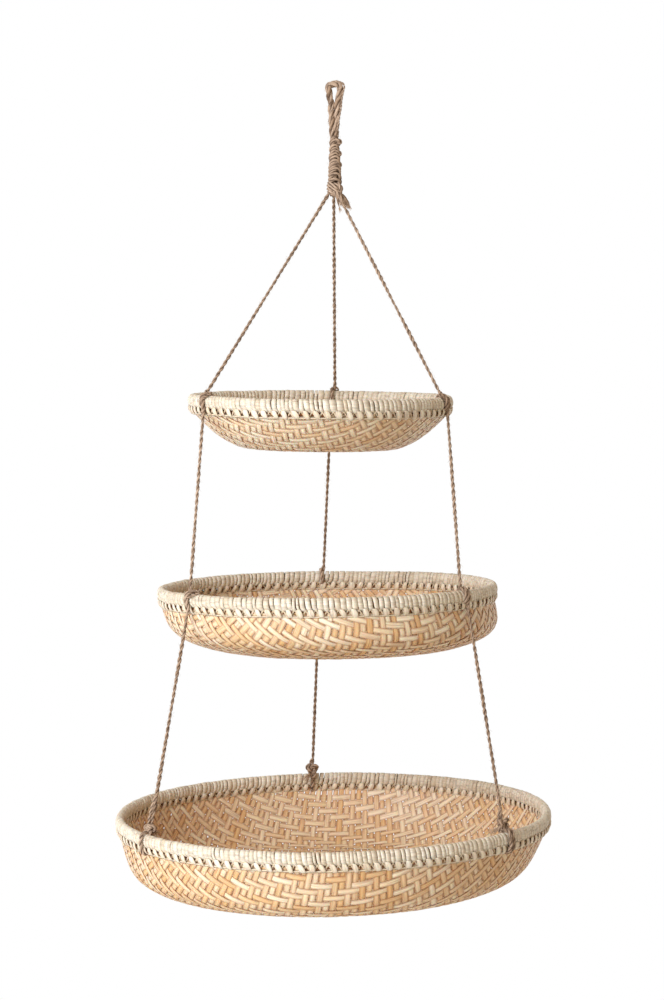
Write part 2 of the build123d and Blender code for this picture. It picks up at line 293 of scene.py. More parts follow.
# Each ply's inner side is darkened here as painted shade between the plies
mat_jute = make_plant_material(
    "jute", pale=(204, 180, 161), warm=(158, 131, 109), dark=(60, 38, 25), across=4.0, along=170.0,
    fineness=3.0, bump=0.8, rough=0.85, streak=0.85, patch=0.3, onset=0.46, crease_shade=0.8)
mat_fuzz = make_plant_material(
    "jute fuzz", pale=(220, 198, 178), warm=(186, 158, 134), dark=(140, 108, 82), across=2.0, along=90.0,
    fineness=3.0, bump=0.2, rough=0.85)

# Light soaks into the thin split strips and comes back warmer
for made, share in ((mat_strip, 0.3), (mat_wrap, 0.15), (mat_lash, 0.15)):
    shader = made.node_tree.nodes["Principled BSDF"]
    shader.inputs["Subsurface Weight"].default_value = share
    shader.inputs["Subsurface Radius"].default_value = (1.0, 0.45, 0.2)
    shader.inputs["Subsurface Scale"].default_value = 1.2 * mm


# Mesh helpers

def smooth_line(points, spacing, order=3):
    """Evenly spaced points along one smooth curve that these points steer."""
    curve = bpy.data.curves.new("line", "CURVE")
    curve.dimensions = "3D"
    spline = curve.splines.new("NURBS")
    spline.points.add(len(points) - 1)
    for point, place in zip(spline.points, points):
        point.co = (*place, 1.0)
    spline.order_u = min(order, len(points))
    spline.use_endpoint_u = True
    curve.resolution_u = 24
    holder = bpy.data.objects.new("line", curve)
    mesh = bpy.data.meshes.new_from_object(holder)
    raw = [v.co.copy() for v in mesh.vertices]
    bpy.data.meshes.remove(mesh)
    bpy.data.objects.remove(holder)
    bpy.data.curves.remove(curve)
    reached = [0.0]
    for before, after in zip(raw, raw[1:]):
        reached.append(reached[-1] + (after - before).length)
    count = max(2, round(reached[-1] / spacing) + 1)
    even, at = [], 0
    for number in range(count):
        goal = reached[-1] * number / (count - 1)
        while at < len(reached) - 2 and reached[at + 1] < goal:
            at += 1
        span = max(reached[at + 1] - reached[at], 1e-9)
        even.append(raw[at].lerp(raw[at + 1], min(max((goal - reached[at]) / span, 0.0), 1.0)))
    return even


def points_from(root, places):
    """Points given in millimetres from a root."""
    return [root + Vector(place) * mm for place in places]


def length_of(line):
    return sum((after - before).length for before, after in zip(line, line[1:]))


def side_directions(line):
    """For each point of a line, two directions square to it that don't spin as it goes."""
    found = []
    side = None
    for number, point in enumerate(line):
        ahead = (line[min(number + 1, len(line) - 1)] - line[max(number - 1, 0)]).normalized()
        if side is None:
            side = ahead.orthogonal()
        side = (side - ahead * side.dot(ahead)).normalized()
        found.append((side, ahead.cross(side)))
    return found


class Bars:
    """Bars that are made straight, along z from 0 to 1 and of radius 1, and then bent to their places."""

    straight = {}

    def __init__(self):
        self.mesh = bmesh.new()
        self.mesh.verts.layers.float.new("tint")
        self.mesh.loops.layers.uv.new("grain")

    @classmethod
    def make_straight(cls, sides, rings, closed, flat):
        """The straight bar. Its map runs once round it, and from 0 to 1 along it."""
        bm = bmesh.new()
        bm.verts.layers.float.new("tint")
        grain = bm.loops.layers.uv.new("grain")
        bmesh.ops.create_cone(bm, cap_ends=closed, segments=sides, radius1=1, radius2=1, depth=1)
        bmesh.ops.translate(bm, verts=bm.verts, vec=(0, 0, 0.5))
        if rings > 2:
            uprights = [e for e in bm.edges if abs(e.verts[0].co.z - e.verts[1].co.z) > 0.5]
            bmesh.ops.subdivide_edges(bm, edges=uprights, cuts=rings - 2, use_grid_fill=True)
        for face in bm.faces:
            middle = face.calc_center_median()
            facing = math.atan2(middle.y, middle.x)
            for loop in face.loops:
                co = loop.vert.co
                turned = (math.atan2(co.y, co.x) - facing + math.pi) % (2 * math.pi) - math.pi
                loop[grain].uv = ((facing + turned) / (2 * math.pi), co.z)
            face.smooth = True
        if flat:
            for edge in bm.edges:
                edge.smooth = abs(edge.verts[0].co.z - edge.verts[1].co.z) < 1e-6
        made = bpy.data.meshes.new("straight")
        bm.to_mesh(made)
        bm.free()
        return made

    def add(self, sides, rings, length, place, tint, closed=True, flat=False):
        """One bar. place turns its straight x, y and z into a point; a flat one keeps its long edges sharp."""
        kind = (sides, rings, closed, flat)
        if kind not in self.straight:
            self.straight[kind] = self.make_straight(*kind)
        bm = bmesh.new()
        bm.from_mesh(self.straight[kind])
        tints = bm.verts.layers.float["tint"]
        grain = bm.loops.layers.uv["grain"]
        for v in bm.verts:
            v[tints] = tint
            v.co = place(*v.co)
        for face in bm.faces:
            for loop in face.loops:
                loop[grain].uv.y *= length
        bent = bpy.data.meshes.new("bent")
        bm.to_mesh(bent)
        bm.free()
        self.mesh.from_mesh(bent)
        bpy.data.meshes.remove(bent)

    def finish(self, name, material, body):
        """Makes all the bars one piece."""
        made = bpy.data.meshes.new(name)
        bmesh.ops.recalc_face_normals(self.mesh, faces=self.mesh.faces)
        self.mesh.to_mesh(made)
        self.mesh.free()
        piece = bpy.data.objects.new(name, made)
        bpy.context.scene.collection.objects.link(piece)
        made.materials.append(material)
        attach(piece, body)
        return piece


# A twisted cord by its plies: a ply's radius and how far it lies from the cord's middle, in cord diameters
ply_sizes = {2: (0.3, 0.19), 3: (0.26, 0.24)}
ply_lumps = 0.22
usual_lay = 3.3


def lay_strand(bars, line, diameter, plies=2, lay=None, start_angle=0.0, sides=ply_sides, taper=None):
    """Twists so many plies of jute along a line of evenly spaced points. taper gives its width on the way."""
    lay = lay or diameter * usual_lay
    total = length_of(line)
    directions = side_directions(line)
    last = len(line) - 1
    ply_r, off = (diameter * share for share in ply_sizes[plies])
    for ply in range(plies):
        phase = start_angle + 2 * math.pi * ply / plies

        def place(x, y, z):
            number = min(round(z * last), last)
            side, up = directions[number]
            angle = phase + 2 * math.pi * total * z / lay
            width = taper(z) if taper else 1.0
            out = side * math.cos(angle) + up * math.sin(angle)
            round_ = side * -math.sin(angle) + up * math.cos(angle)
            lump = noise.noise(Vector((z * total * 190, phase * 3, diameter * 900)))
            thick = ply_r * (1 + ply_lumps * lump)
            return line[number] + (out * (off + x * thick) + round_ * (y * thick)) * width

        bars.add(sides, last + 1, total, place, rng.uniform(0.1, 0.9))


def add_fuzz(bars, line, diameter, per_metre, reach=fuzz_reach):
    """Short loose fibres that stand off a strand."""
    directions = side_directions(line)
    last = len(line) - 1
    for _ in range(round(length_of(line) * per_metre)):
        number = rng.randrange(1, last)
        side, up = directions[number]
        angle = rng.uniform(0, 2 * math.pi)
        out = side * math.cos(angle) + up * math.sin(angle)
        ahead = (line[number] - line[number - 1]).normalized() * rng.choice((-1, 1))
        bend = side.cross(out) * rng.uniform(-1, 1) + ahead
        root = line[number] + out * diameter * 0.4
        long = reach * rng.uniform(0.4, 1.3)
        thick = rng.uniform(0.05, 0.09) * mm

        def place(x, y, z):
            centre = root + out * long * 0.6 * math.sin(z * 2.0) + bend * long * 0.7 * z
            return centre + (side * x + up * y) * thick * (1.15 - z)

        bars.add(hair_sides, 4, long, place, rng.uniform(0.0, 1.0))


def add_tuft(bars, root, ahead, length, count, spread):
    """A bundle of fibres that opens towards its end."""
    side = ahead.orthogonal().normalized()
    up = ahead.cross(side)
    for _ in range(count):
        angle = rng.uniform(0, 2 * math.pi)
        share = math.sqrt(rng.random())
        off = (side * math.cos(angle) + up * math.sin(angle)) * share
        long = length * rng.uniform(0.6, 1.05)
        curl = (side * rng.uniform(-1, 1) + up * rng.uniform(-1, 1)) * 0.18
        thick = rng.uniform(0.1, 0.26) * mm

        def place(x, y, z):
            centre = root + off * 1.1 * mm + (ahead + off * spread * z + curl * math.sin(z * 3)) * long * z
            return centre + (side * x + up * y) * thick * (1.1 - 0.8 * z)

        bars.add(fibre_sides, 6, long, place, rng.uniform(0.0, 1.0))


def repaint(node, material):
    """Gives a solid that stays in view its material."""
    data = frame["nodes"][node].data
    data.materials.clear()
    data.materials.append(material)


# Places read from the frame

class Tier:
    """One bowl's place: the middle of its rim, its axes, and the radius of the rim's middle line."""

    def __init__(self, name, fall, drift, raised, pitch, turned, wrap, loose, tan, shares):
        self.name = name
        self.body = f"{name}_tier"
        self.fall, self.drift, self.raised = fall, drift, raised
        self.pitch, self.turned = pitch, turned
        self.wrap, self.loose, self.tan = wrap, loose, tan
        ring = frame["nodes"][f"{name}_rim_binding"].data
        points = np.array([v.co for v in ring.vertices])
        middle = (points.max(axis=0) + points.min(axis=0)) / 2
        axis = np.linalg.svd(points - points.mean(axis=0), full_matrices=False)[2][2]
        self.up = Vector(axis) if axis[2] > 0 else -Vector(axis)
        self.middle = Vector(middle)
        self.x = (Vector((1, 0, 0)) - self.up * self.up.x).normalized()
        self.y = self.up.cross(self.x)
        spread = (Vector(p) - self.middle for p in points)
        self.rim_r = max((p - self.up * p.dot(self.up)).length for p in spread) - rim_thick / 2
        self.edge_z = -rim_tall / 2 - lash_gap
        self.make_profile(shares)

    def at(self, angle, out, up):
        """The point at an angle round the rim, so far out from its middle line and above it."""
        reach = self.rim_r + out
        flat = self.x * (math.cos(angle) * reach) + self.y * (math.sin(angle) * reach)
        return self.middle + flat + self.up * (up + self.waver(angle))

    def route(self, angle, places):
        """Points by how far each lies along the rim, out of it and above it, in millimetres."""
        return [self.at(angle + along * mm / self.rim_r, out * mm, up * mm) for along, out, up in places]

    def waver(self, angle):
        """How far the rim rises at an angle: towards the back, and a little unevenly."""
        across, deep = math.cos(angle), math.sin(angle)
        uneven = noise.noise(Vector((across * 2.2, deep * 2.2, self.rim_r * 90)))
        return self.raised * (0.5 + 0.5 * deep) + rim_waver * uneven

    def angle_of(self, node):
        """Where round the rim a node of the frame lies."""
        low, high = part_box(node)
        away = (Vector(low) + Vector(high)) / 2 - self.middle
        return math.atan2(away.dot(self.y), away.dot(self.x))

    def make_profile(self, shares):
        """Radius and height by distance from the bowl's middle, as a table of points."""
        corners = [(0.0, self.edge_z - self.fall)] + [
            (self.rim_r * across, self.edge_z - self.fall * down) for across, down in reversed(shares)]
        corners.append((self.rim_r, -rim_tall / 2 - edge_gap))
        self.table = smooth_line([(r, 0.0, z) for r, z in corners], fine_step)
        self.reach = length_of(self.table)

    def on_mat(self, along, across, lift):
        """A point of the flat mat, pressed into the bowl."""
        distance = math.hypot(along, across)
        angle = math.atan2(across, along) + self.turned
        place = min(distance / self.reach, 1.0) * (len(self.table) - 1)
        number = min(int(place), len(self.table) - 2)
        before, after = self.table[number], self.table[number + 1]
        slope = (after - before).normalized()
        point = before.lerp(after, place - number)
        reach, height = point.x + slope.z * lift, point.z - slope.x * lift
        down = min(max((self.edge_z - height) / self.fall, 0.0), 1.0)
        height += self.waver(angle) * (point.x / self.rim_r) ** 3
        sideways = math.cos(angle) * reach + self.drift * down
        return self.middle + self.x * sideways + self.y * (math.sin(angle) * reach) + self.up * height


# Each bowl: how far it falls below its rim's edge, drifts to the right and rises at its back; the pitch of its
# strips and how far they are turned; the pitch of the rim's wraps and the share of them that gape; how warm
# its strips are, partly their own tone and partly painted light, the top bowl made paler to stand for light on
# its underside; and its outline from the edge to the bottom, as shares of the rim's radius and of the fall
tiers = {
    "top": Tier(
        "top", fall=34.1 * mm, drift=0.0, raised=1.0 * mm, pitch=6.2 * mm, turned=math.radians(-13),
        wrap=4.6 * mm, loose=0.35, tan=-0.3, shares=(
            (1.0, 0.0), (0.957, 0.15), (0.914, 0.3), (0.868, 0.45), (0.816, 0.6), (0.765, 0.72), (0.714, 0.82),
            (0.665, 0.9), (0.622, 0.96), (0.55, 1.0))),
    "middle": Tier(
        "middle", fall=44.8 * mm, drift=10.5 * mm, raised=1.0 * mm, pitch=6.3 * mm, turned=math.radians(25),
        wrap=4.5 * mm, loose=0.22, tan=0.05, shares=(
            (1.0, 0.0), (0.999, 0.15), (0.997, 0.3), (0.989, 0.45), (0.963, 0.6), (0.919, 0.72), (0.855, 0.82),
            (0.78, 0.9), (0.705, 0.96), (0.62, 1.0))),
    "bottom": Tier(
        "bottom", fall=51.5 * mm, drift=-6.1 * mm, raised=3.2 * mm, pitch=6.4 * mm, turned=0.0,
        wrap=4.3 * mm, loose=0.12, tan=0.12, shares=(
            (1.0, 0.0), (0.986, 0.15), (0.973, 0.3), (0.958, 0.45), (0.94, 0.6), (0.918, 0.72), (0.889, 0.82),
            (0.852, 0.9), (0.813, 0.96), (0.76, 1.0))),
}
cord_names = ("left", "right", "back")

# How each strip runs: over this many, of a round of this many, one row moved on by this many
float_over, float_round, float_step = 3, 6, 2


# Woven mats

def rise(over, number, place):
    """How far a strip stands up or down at a place counted in crossings."""
    def state(crossing):
        row, column = (number, crossing) if over else (crossing, number)
        up = (column + float_step * row) % float_round < float_over
        return 1.0 if up == over else -1.0

    start = math.floor(place - 0.5)
    share = place - 0.5 - start
    share = share * share * (3 - 2 * share)
    return state(start) * (1 - share) + state(start + 1) * share


def flattened(x, pull):
    """Where a corner of a six-sided bar goes, to make the bar a flat strip."""
    return x * pull if abs(x) < 0.6 else x


def make_mat(tier, over):
    """All the strips of one direction, laid flat and pressed into the bowl."""
    bars = Bars()
    count = int(tier.reach / tier.pitch) + 1
    for number in range(-count, count):
        middle = (number + 0.5) * tier.pitch + rng.uniform(-strip_stray, strip_stray) * mm
        width = tier.pitch * rng.triangular(0.93, 1.08, 1.03) / 2
        if abs(middle) + width > tier.reach - 0.4 * tier.pitch:
            continue
        half = math.sqrt(tier.reach ** 2 - middle ** 2)
        rings = max(4, round(4 * half / tier.pitch) + 1)
        seed = rng.uniform(0, 50)

        def place(x, y, z):
            pinch = noise.noise(Vector(((2 * z - 1) * half * 55, seed, 9.0)))
            thin = 1.0 - 0.5 * max(0.0, pinch - 0.3)
            across = middle + flattened(x, 1.7) * width * thin
            along = (2 * z - 1) * math.sqrt(max(tier.reach ** 2 - across ** 2, 0.0))
            across += strip_wander * noise.noise(Vector((along * 22, seed, 0.0)))
            lift = strip_lift * rise(over, number, along / tier.pitch) + y * strip_t / 2
            if over:
                return tier.on_mat(along, across, -lift)
            return tier.on_mat(across, along, -lift)

        # Weft strips lean to warmer tints than warp strips, as painted shade where they lie lower between the
        # floats; each strip's spread of tone is its own, and the tier's offset is partly painted light
        tint = min(1.0, max(0.0, tier.tan + rng.triangular(0.0, 1.0, 0.1 if over else 0.65)))
        bars.add(strip_sides, rings, 2 * half, place, tint, flat=True)
    word = "warp" if over else "weft"
    return bars.finish(f"{tier.name}_mat_{word}", mat_strip, tier.body)


# Rims: wrapped strips and the lashing beneath them

# A wrap's five rings: how deep each is tucked in, and its place across the wrap; and the hook at its foot
wrap_sunk = (0.9 * mm, 0.14 * mm, 0.0, 0.14 * mm, 0.9 * mm)
wrap_across = (-0.5, -0.47, 0.0, 0.47, 0.5)
wrap_hook = 3.2 * mm


def make_wrapping(tier):
    """Flat strip wound round the hoop, turn after turn."""
    bars = Bars()
    round_ = 2 * math.pi * tier.rim_r
    widths = []
    while sum(widths) < round_ - tier.wrap:
        widths.append(tier.wrap * rng.uniform(0.7, 1.35))
    widths = [w * round_ / sum(widths) for w in widths]
    tall = (rim_tall + rim_skirt) / 2
    at = 0.0
    for width in widths:
        centre = at + width / 2
        at += width
        slant = rng.uniform(0.2, 1.0) * mm
        slack = rng.uniform(0.0, 0.4) * mm
        gap = 0.1 * mm if rng.random() > tier.loose else rng.uniform(0.7, 1.2) * mm

        def place(x, y, z):
            ring = round(z * (len(wrap_sunk) - 1))
            inset = slack - wrap_sunk[ring]
            hook = wrap_hook * max(0.0, -y - 0.35) ** 1.6
            angle = (centre + wrap_across[ring] * (width - gap) - slant * y + hook) / tier.rim_r
            return tier.at(angle, (rim_thick / 2 + inset) * x, (tall + inset) * y - rim_skirt / 2)

        tint = rng.triangular(0.0, 1.0, 0.2)
        bars.add(wrap_sides, len(wrap_sunk), width, place, tint, closed=False)
    return bars.finish(f"{tier.name}_wrapping", mat_wrap, tier.body)


def make_fold_painted_shade(tier):
    """The mat's own edge between the two lashings, coloured dark brown as painted shade, since it lies in
    shade.
    """
    bars = Bars()

    def place(x, y, z):
        angle = 2 * math.pi * z
        wander = noise.noise(Vector((math.cos(angle), math.sin(angle), 0.0)) * tier.rim_r * 120)
        height = -rim_tall / 2 - rim_skirt - fold_r + fold_wander * wander
        return tier.at(angle, fold_t * y, height + x * fold_r)

    bars.add(lath_sides, 361, 2 * math.pi * tier.rim_r, place, 0.5)
    return bars.finish(f"{tier.name}_folded_edge", mat_fold_painted_shade, tier.body)


def make_lashing(tier):
    """Strips that tie the mat's edge to the rim, outside and inside, over two thin laths.

    Every third strip is broad and bulges, and the two narrow ones beside it lean to the left and right.
    """
    bars = Bars()
    count = round(2 * math.pi * tier.rim_r / lash_pitch)
    foot = -rim_tall / 2 - rim_skirt
    top_z = foot + 2.0 * mm
    for face in (1, -1):
        def lath(x, y, z):
            across = face * (mat_t / 2 + lath_out) + lath_r / 3 * y
            return tier.at(2 * math.pi * z, across, foot - lath_down + x * lath_r)

        bars.add(lath_sides, 181, 2 * math.pi * tier.rim_r, lath, 0.6)
        for number in range(3 * count):
            centre = (number + rng.uniform(-0.2, 0.2)) / count * 2 * math.pi / 3
            broad = number % 3 == 0
            if broad:
                width = lash_w * rng.uniform(0.85, 1.15) / 2
                lean = rng.uniform(1.2, 3.6) * mm
                lift = rng.uniform(1.0, 1.6) * mm
                lap, sunk, proud = lash_lap + 1.2 * mm, 0.6 * mm, 0.7 * mm
            else:
                width = lash_w * rng.uniform(0.22, 0.36) / 2
                lean = (-4.0 if number % 3 == 1 else 4.5) * mm
                lift = 0.0
                lap, sunk, proud = lash_lap, 1.6 * mm, 0.2 * mm
            low_z = foot - lap * rng.uniform(0.9, 1.1)
            start = rim_thick / 2 - sunk
            rest = mat_t / 2 + proud

            def place(x, y, z):
                height = top_z + (low_z - top_z) * z
                resting = start + (rest - start) * min(z * 1.5, 1.0) ** 0.8
                tucked = 1.6 * mm * max(0.0, z - 0.8) / 0.2
                bulge = lift * math.sin(math.pi * min(z * 1.05, 1.0)) - tucked
                across = flattened(x, 1.64) * (0.74 + 0.36 * math.sin(math.pi * z)) * width
                angle = centre + (lean * (z - 0.5) + across) / tier.rim_r
                return tier.at(angle, face * (resting + bulge + y * lash_t / 2), height)

            # The narrow strips take the warmer, darker tints, as painted shade where they lie behind the broad
            # ones; the spread within each is their own tone
            tint = rng.uniform(0.0, 0.5) if broad else rng.uniform(0.7, 1.0)
            bars.add(strip_sides, 8, lash_long, place, tint, flat=True)
    return bars.finish(f"{tier.name}_lashing", mat_lash, tier.body)


for tier in tiers.values():
    warp, weft = make_mat(tier, True), make_mat(tier, False)
    for piece in (warp, weft):
        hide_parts(f"{tier.name}_bowl")
    wrapping = make_wrapping(tier)
    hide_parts(f"{tier.name}_rim_binding")
    lashing = make_lashing(tier)
    folded = make_fold_painted_shade(tier)
    for piece in (lashing, folded):
        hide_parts(f"{tier.name}_rim_stitches")
    repaint(f"{tier.name}_rim_hoop", mat_hoop)


# Cords between the tiers

# How far along the rim from the solid's place the photograph shows a knot or hitch, in degrees
nudged = {("bottom", "left"): 3.8, ("bottom", "right"): -1.4, ("top", "right"): -3.0}


def hitch_angle(tier, side):
    """Where round the rim a cord is tied."""
    node = f"{tier.name}_{side}_knot" if tier.name == "bottom" else f"{tier.name}_{side}_hitch"
    return tier.angle_of(node) + math.radians(nudged.get((tier.name, side), 0.0))


def landing(tier, side):
    """Where a cord from above reaches a rim: on it, or inside it at the bottom basket's knots."""
    angle = hitch_angle(tier, side)
    if tier.name == "bottom":
        return tier.at(angle, -knot_in[side], knot_up[side])
    return tier.at(angle - cord_d / 2 / tier.rim_r, 0.0, rim_tall / 2 + cord_d / 2)


def leaving(tier, side):
    """Where the cord below a rim starts, under its outside."""
    angle = hitch_angle(tier, side)
    return tier.at(angle + cord_d / 2 / tier.rim_r, 4.8 * mm, -rim_tall / 2 - cord_d / 2)


# The point where all the cords come together, about which everything below it swings
joints = frame["record"]["behaviour"]["joints"]
gather = Vector(next(joint["pos_m"] for joint in joints if joint["name"] == "side_swing"))


def make_cord(name, body, start, finish, doubled=0.0):
    """A taut two-ply cord and its fuzz. Its end may run back up beside it, doubled over this length."""
    line = smooth_line([start, start.lerp(finish, 0.5), finish], cord_step, order=2)
    bars = Bars()
    seed = rng.uniform(0, 50)

    def uneven(z):
        return 0.86 + 0.3 * noise.noise(Vector((z * length_of(line) * 28, seed, 0.0)))

    lay_strand(bars, line, cord_d, lay=cord_lay, start_angle=rng.uniform(0, 6), taper=uneven)
    cord = bars.finish(name, mat_jute, body)
    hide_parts(name)
    length_of(line)
    loose = Bars()
    add_fuzz(loose, line, cord_d, fuzz_on_cord)
    if doubled:
        along = (start - finish).normalized()
        beside = along.cross(Vector((0, 1, 0))).normalized() * cord_d
        way = [finish + beside * 0.6, finish + along * doubled * 0.5 + beside, finish + along * doubled]
        lay_strand(loose, smooth_line(way, cord_step), cord_d * 0.9)
    fuzz = loose.finish(f"{name}_fuzz", mat_jute if doubled else mat_fuzz, body)


# How far each lower cord's end runs back up beside it
run_back = {"left": 32 * mm, "right": 15 * mm, "back": 12 * mm}
for side in cord_names:
    make_cord(f"upper_{side}_cord", "top_tier", gather, landing(tiers["top"], side))
    make_cord(f"middle_{side}_cord", f"middle_{side}_cord", leaving(tiers["top"], side),
              landing(tiers["middle"], side))
    make_cord(f"lower_{side}_cord", f"lower_{side}_cord", leaving(tiers["middle"], side),
              landing(tiers["bottom"], side), run_back[side])


# Hitches and knots

def turns_round_rim(tier, angle, turns, first_along, last_along, start_share):
    """Points of a cord that winds round the rim, starting on top and going down the outside."""
    points = []
    steps = round(turns * 10)
    for step in range(steps + 1):
        share = step / steps
        around = 2 * math.pi * (start_share + turns * share)
        along = first_along + (last_along - first_along) * share
        out = math.sin(around) * (rim_thick / 2 + cord_d / 2) * 1.06
        up = math.cos(around) * (rim_tall / 2 + cord_d / 2) * 1.04
        points.append(tier.at(angle + along / tier.rim_r, out, up))
    return points


# Each hitch: turns round the rim, how far they spread to either side, and how far its loose bight reaches
hitches = {
    ("top", "left"): (1.45, -2.4, 2.6, 7.5), ("top", "right"): (2.45, -3.8, 3.6, -7.0),
    ("top", "back"): (1.45, -1.6, 1.6, -5.0), ("middle", "left"): (1.45, -1.6, 1.8, 13.0),
    ("middle", "right"): (2.45, -2.6, 3.4, 0.0), ("middle", "back"): (1.45, -1.6, 1.6, 0.0),
}


# The bight's way over the rim: along it as a share of its reach, out and up in millimetres
bight_round = ((0.0, 5.8, 0.5), (0.0, 4.6, 6.2), (0.3, 1.0, 8.2), (0.75, -1.0, 8.4), (1.0, 0.0, 7.2),
               (0.9, 3.6, 5.6), (0.4, 5.6, 3.4), (0.0, 6.2, 1.5))


def make_hitch(tier, side):
    """A cord wound round the rim, from the cord above to the cord below, with a thin bight over it."""
    turns, first, last, bight = hitches[tier.name, side]
    angle = hitch_angle(tier, side)
    bars = Bars()
    route = turns_round_rim(tier, angle, turns, first * mm, last * mm, -0.03)
    below = leaving(tier, side)
    route = [landing(tier, side) + tier.up * 3 * mm] + route[:-1] + [below, below - tier.up * 5 * mm]
    line = smooth_line(route, hitch_step)
    lay_strand(bars, line, cord_d)
    if bight:
        way = tier.route(angle, [(bight * share, out, up) for share, out, up in bight_round])
        lay_strand(bars, smooth_line(way, hitch_step), cord_d * 0.62, sides=thin_sides)
    hitch = bars.finish(f"{tier.name}_{side}_hitch_cord", mat_jute, tier.body)
    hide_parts(f"{tier.name}_{side}_hitch")
    loose = Bars()
    add_fuzz(loose, line, cord_d, fuzz_on_hitch)
    fuzz = loose.finish(f"{tier.name}_{side}_hitch_fuzz", mat_fuzz, tier.body)


# Each bottom knot: its two overhand loops' height, width, depth in millimetres and lift; where its strands go
# over the rim, in millimetres along it; and their way round the rim, out and up in millimetres
knot_loops = ((1.35, 0.9, 2.4, 0.0), (0.7, 1.05, 3.0, 0.25))
knot_strands = {"left": (0.0,), "right": (-1.7, 1.9), "back": (0.0,)}
round_rim = ((-4.0, 8.6), (0.0, 8.2), (5.2, 6.4), (6.6, 0.0), (6.2, -7.0), (4.4, -11.5), (0.6, -12.5),
             (-3.4, -10.0), (-6.2, -3.0), (-6.4, 4.0))


def make_rim_knot(tier, side):
    """Two overhand knots in one lump inside the rim, with strands that go round it, and a frayed tail."""
    angle = hitch_angle(tier, side)
    centre = landing(tier, side)
    bars = Bars()
    out = (tier.at(angle, 1.0, 0.0) - tier.at(angle, 0.0, 0.0)).normalized()
    along = tier.up.cross(out)
    for tall, wide, deep, lift in knot_loops:
        points = []
        for step in range(25):
            t = 2 * math.pi * step / 24 * 0.97
            x = (math.sin(t) + 2 * math.sin(2 * t)) / 3
            y = (math.cos(t) - 2 * math.cos(2 * t)) / 3
            z = -math.sin(3 * t)
            flat = along * x * knot_r * wide + tier.up * (y * tall + lift) * knot_r
            points.append(centre + flat + out * z * deep * mm)
        lay_strand(bars, smooth_line(points, hitch_step), cord_d)
    loose = Bars()
    for beside in knot_strands[side]:
        turn = tier.route(angle, [(beside, *out_and_up) for out_and_up in round_rim])
        turn_line = smooth_line([centre] + turn + [centre], hitch_step)
        lay_strand(bars, turn_line, cord_d)
        add_fuzz(loose, turn_line, cord_d, fuzz_on_knot)
        add_fuzz(loose, turn_line, cord_d, long_fuzz_on_knot, reach=long_fuzz_reach)
    knot = bars.finish(f"{tier.name}_{side}_knot_cord", mat_jute, tier.body)
    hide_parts(f"{tier.name}_{side}_knot")
    low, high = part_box(f"{tier.name}_{side}_knot_tail")
    tip = (Vector(low) + Vector(high)) / 2
    add_tuft(loose, centre.lerp(tip, 0.4), (tip - centre).normalized(), length=13 * mm, count=44, spread=0.4)
    fuzz = loose.finish(f"{tier.name}_{side}_knot_fray", mat_fuzz, tier.body)
    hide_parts(f"{tier.name}_{side}_knot_tail")


for side in cord_names:
    make_hitch(tiers["top"], side)
    make_hitch(tiers["middle"], side)
    make_rim_knot(tiers["bottom"], side)


# Hanging loop, neck and gather knot

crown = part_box("hanging_loop")[1][2]
neck_low, neck_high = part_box("neck_whipping")
knot_low, knot_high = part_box("gather_knot")

# One leg of the loop from its foot to its eye: out from the middle and down from the crown, in millimetres
loop_leg = ((1.6, 58.0), (1.9, 44.0), (2.4, 33.0), (2.8, 24.0), (3.1, 18.5), (4.6, 14.0), (5.1, 8.5),
            (5.3, 4.6), (2.6, 3.4))
# A thin strand that has come away on the loop's right
loop_stray = ((0.5, -2.6, -2.4), (5.5, -2.2, -1.0), (9.4, -1.4, -4.4), (8.2, -1.6, -10.0), (6.6, -2.6, -17.0),
              (6.4, -2.8, -24.0), (4.4, -2.6, -34.0), (3.0, -2.0, -46.0))


def make_loop():
    """A doubled jute strand with a small eye at its top; it narrows towards the neck."""
    bars = Bars()
    top = Vector((0, 0, crown))
    steps = list(enumerate(loop_leg))
    left = [(-out, number % 2 - 0.5, -down) for number, (out, down) in steps]
    right = [(out, 0.5 - number % 2, -down) for number, (out, down) in reversed(steps)]
    line = smooth_line(points_from(top, left + right), fine_step)
    lay_strand(bars, line, loop_strand_d, plies=3, lay=loop_lay, sides=8,
               taper=lambda z: 0.62 + 0.38 * math.sin(math.pi * z) ** 0.6)
    lay_strand(bars, smooth_line(points_from(top, loop_stray), fine_step), 1.9 * mm, lay=7 * mm,
               sides=thin_sides)
    loop = bars.finish("loop_strands", mat_jute, "hanging_loop")
    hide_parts("hanging_loop")
    loose = Bars()
    add_fuzz(loose, line, loop_strand_d, fuzz_on_loop)
    fuzz = loose.finish("loop_fuzz", mat_fuzz, "hanging_loop")


def neck_radius(share):
    """Radius of the neck's outside, from its top to its foot."""
    return (4.3 + 2.5 * share) * mm


# The neck's winding: its turns, where round the neck they peak, and how far they tip there
neck_turns = 11
neck_ridge = math.radians(-66)
neck_tip = 4.2 * mm
neck_tip_sharp = 0.8 * mm
# The starting end's knot and two loose bights, on the right: how far down and how proud, in millimetres
neck_bights = ((5.5, 1.5), (16.0, 0.7), (26.0, 0.3))
# One bight's way: its direction in radians, and out and up in millimetres
bight_way = ((-1.4, -1.6, 1.2), (-0.8, -0.4, 2.2), (-0.3, 0.5, 1.3), (0.0, 0.6, -0.6), (-0.4, 0.0, -2.2),
             (-1.0, -1.2, -2.8))


